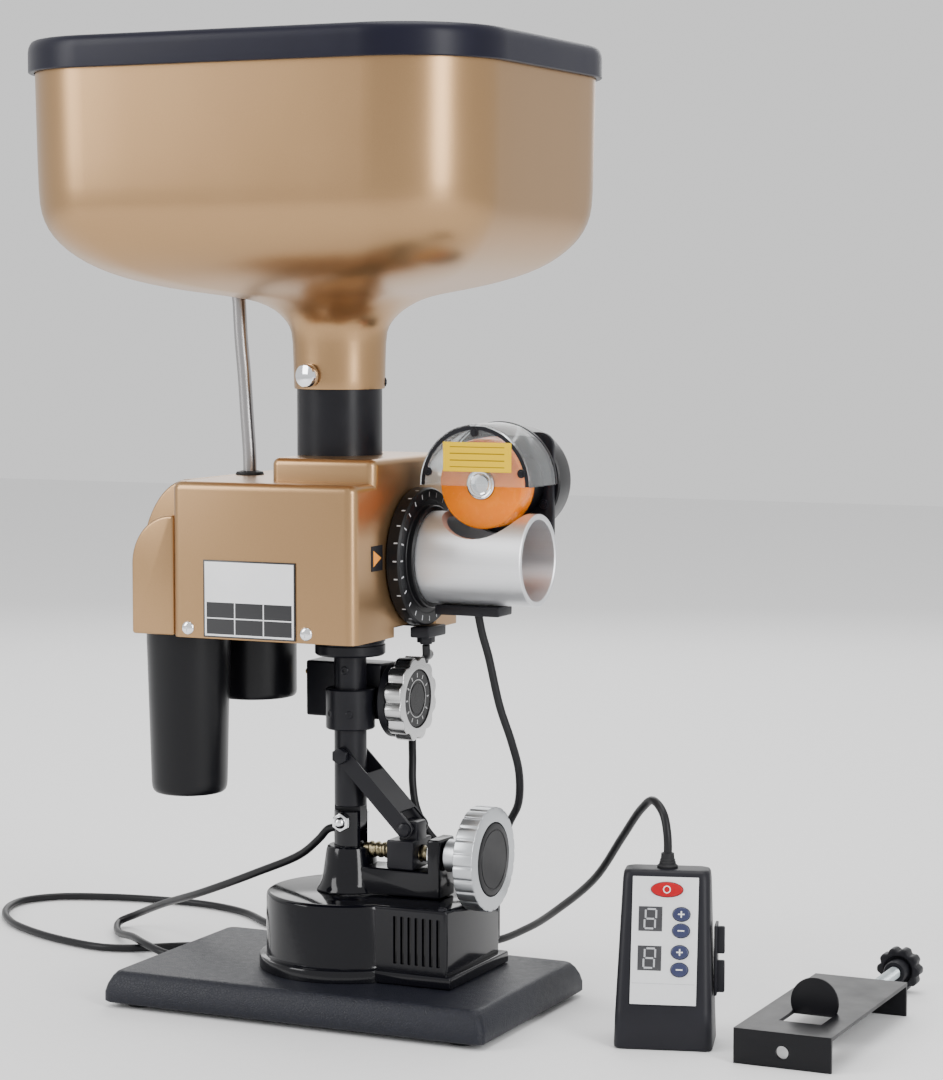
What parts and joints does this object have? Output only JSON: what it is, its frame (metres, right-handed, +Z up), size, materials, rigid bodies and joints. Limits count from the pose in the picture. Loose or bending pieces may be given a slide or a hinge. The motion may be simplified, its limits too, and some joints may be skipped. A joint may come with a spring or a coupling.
{
  "type": "table-tennis ball machine",
  "caption": "Ball-throwing machine for table tennis: open hopper on a feeding head with a turning launcher, tilting mast on a base plate, wired control box and table clamp.",
  "frame": {"origin": "on the floor under the mast, where the mast axis meets the plane the feet stand on", "axes": "+X the way the balls are thrown, +Y to the side the launch motor is on, +Z up"},
  "size_m": [0.6031, 0.293, 0.526],
  "materials": {
    "gold": "satin gold paint",
    "black_paint": "black paint",
    "black_cast": "gloss black enamel",
    "black_plastic": "black moulded plastic",
    "rim_plastic": "dark navy plastic, satin",
    "grained": "dark grained finish",
    "rubber": "matt",
    "aluminium": "brushed",
    "chrome": "polished",
    "steel": "zinc plated",
    "brass": "turned",
    "orange": "translucent orange",
    "clear": "clear plastic",
    "label": "printed film",
    "silver_film": "silver printed film",
    "red": "gloss",
    "blue": "gloss"
  },
  "bodies": {
    "base": {"base_plate": "grained", "foot_1": "rubber", "foot_2": "rubber", "foot_3": "rubber", "foot_4": "rubber", "base_housing": "black_cast", "mains_inlet": "black_plastic", "post_frame": "black_cast", "pivot_bolt": "chrome", "box_cord": "rubber"},
    "mast": {"mast_tube": "black_paint", "mast_collar": "black_paint", "cross_block": "black_paint", "crank_pin": "brass", "strut_mast_pin": "black_paint", "sweep_disc": "black_plastic"},
    "elevation_screw": {"lead_screw": "steel", "elevation_knob": "aluminium", "elevation_knob_cap": "black_plastic"},
    "elevation_nut": {"slider_block": "black_paint", "strut_slider_pin": "black_paint", "strut": "black_paint"},
    "sweep_control": {"sweep_knob": "aluminium", "sweep_dial": "black_plastic"},
    "head": {"head_bearing": "black_paint", "head_tray": "black_paint", "head_cover": "gold", "rear_cover_low": "gold", "rear_cover_high": "gold", "label_plate": "label", "ball_channel": "black_plastic", "feed_sleeve": "black_plastic", "feed_motor": "black_plastic", "sweep_motor": "black_plastic", "lead_gland": "black_plastic", "hopper_bowl": "gold", "hopper_rim": "rim_plastic", "motor_lead": "rubber"},
    "feed_wheel": {"feed_rotor": "black_plastic"},
    "agitator": {"agitator_rod": "chrome"},
    "hopper_stud": {"lock_stud": "chrome"},
    "launcher": {"dial_ring": "black_plastic", "barrel": "aluminium", "motor_bracket": "black_paint", "launch_motor": "black_plastic", "wheel_guard": "clear", "lead_block": "black_plastic"},
    "launch_wheel": {"friction_wheel": "orange", "wheel_hub": "chrome"},
    "control_unit": {"control_box": "black_plastic", "control_panel": "silver_film", "box_hanger": "black_plastic"},
    "clamp": {"clamp_bracket": "black_paint"},
    "clamp_screw_body": {"clamp_screw": "steel"},
    "clamp_knob": {"star_knob": "black_plastic"},
    "switch_power": {"button_power": "red"},
    "switch_speed_up": {"button_speed_up": "blue"},
    "switch_speed_down": {"button_speed_down": "blue"},
    "switch_rate_up": {"button_rate_up": "blue"},
    "switch_rate_down": {"button_rate_down": "blue"}
  },
  "joints": [
    {"name": "mast_tilt", "type": "hinge", "parent": "base", "child": "mast", "pos_m": [0, 0, 0.101], "axis": [0, 1, 0], "range_deg": [-9.3, 9.3], "deforming": ["motor_lead"]},
    {"name": "elevation_turn", "type": "hinge", "parent": "base", "child": "elevation_screw", "pos_m": [0.04, 0, 0.0855], "axis": [1, 0, 0], "range_deg": [-545, 545]},
    {"name": "elevation_nut_travel", "type": "slide", "parent": "base", "child": "elevation_nut", "axis": [1, 0, 0], "range_m": [-0.0061, 0.0061]},
    {"name": "sweep_setting", "type": "hinge", "parent": "mast", "child": "sweep_control", "pos_m": [0.028, 0.018, 0.168], "axis": [1, 0, 0], "range_deg": [-135, 135]},
    {"name": "head_sweep", "type": "hinge", "parent": "mast", "child": "head", "pos_m": [0, 0, 0.2], "axis": [0, 0, 1], "range_deg": [-12, 12], "deforming": ["motor_lead"]},
    {"name": "feed_turn", "type": "hinge", "parent": "head", "child": "feed_wheel", "pos_m": [-0.042, 0, 0.252], "axis": [0, 1, 0], "continuous": true},
    {"name": "agitator_swing", "type": "hinge", "parent": "head", "child": "agitator", "pos_m": [-0.061, -0.003, 0.3], "axis": [0, 0, 1], "range_deg": [-12, 12]},
    {"name": "stud_pull", "type": "slide", "parent": "head", "child": "hopper_stud", "axis": [-0.1908, -0.9816, 0], "range_m": [0, 0.003], "stiffness_N_per_m": 700, "springref_m": -0.001},
    {"name": "spin_select", "type": "hinge", "parent": "head", "child": "launcher", "pos_m": [0.0446, 0, 0.249], "axis": [1, 0, 0], "range_deg": [-45, 45], "deforming": ["motor_lead"]},
    {"name": "launch_wheel_spin", "type": "hinge", "parent": "launcher", "child": "launch_wheel", "pos_m": [0.0835, 0, 0.2895], "axis": [0, 1, 0], "continuous": true},
    {"name": "control_unit_lift", "type": "slide", "parent": "base", "child": "control_unit", "axis": [0, 0, 1], "range_m": [0, 0.06], "deforming": ["box_cord"]},
    {"name": "clamp_lift", "type": "slide", "parent": "base", "child": "clamp", "axis": [0, 0, 1], "range_m": [0, 0.06]},
    {"name": "clamp_feed", "type": "slide", "parent": "clamp", "child": "clamp_screw_body", "axis": [0, 1, 0], "range_m": [-0.0401, 0.0101]},
    {"name": "clamp_turn", "type": "hinge", "parent": "clamp_screw_body", "child": "clamp_knob", "pos_m": [0.272, 0.137, 0.0128], "axis": [0, 1, 0], "range_deg": [-2700, 10800]},
    {"name": "power_press", "type": "slide", "parent": "control_unit", "child": "switch_power", "axis": [-0.2721, 0.9299, -0.2475], "range_m": [0, 0.0009], "stiffness_N_per_m": 500, "springref_m": -0.0003},
    {"name": "speed_up_press", "type": "slide", "parent": "control_unit", "child": "switch_speed_up", "axis": [-0.2721, 0.9299, -0.2475], "range_m": [0, 0.0009], "stiffness_N_per_m": 500, "springref_m": -0.0003},
    {"name": "speed_down_press", "type": "slide", "parent": "control_unit", "child": "switch_speed_down", "axis": [-0.2721, 0.9299, -0.2475], "range_m": [0, 0.0009], "stiffness_N_per_m": 500, "springref_m": -0.0003},
    {"name": "rate_up_press", "type": "slide", "parent": "control_unit", "child": "switch_rate_up", "axis": [-0.2721, 0.9299, -0.2475], "range_m": [0, 0.0009], "stiffness_N_per_m": 500, "springref_m": -0.0003},
    {"name": "rate_down_press", "type": "slide", "parent": "control_unit", "child": "switch_rate_down", "axis": [-0.2721, 0.9299, -0.2475], "range_m": [0, 0.0009], "stiffness_N_per_m": 500, "springref_m": -0.0003}
  ],
  "couplings": [
    {"joint": "elevation_turn", "follows": "mast_tilt", "ratio": -58.12},
    {"joint": "elevation_nut_travel", "follows": "mast_tilt", "m_per_rad": 0.037},
    {"joint": "clamp_feed", "follows": "clamp_turn", "m_per_rad": -0.00021008}
  ]
}
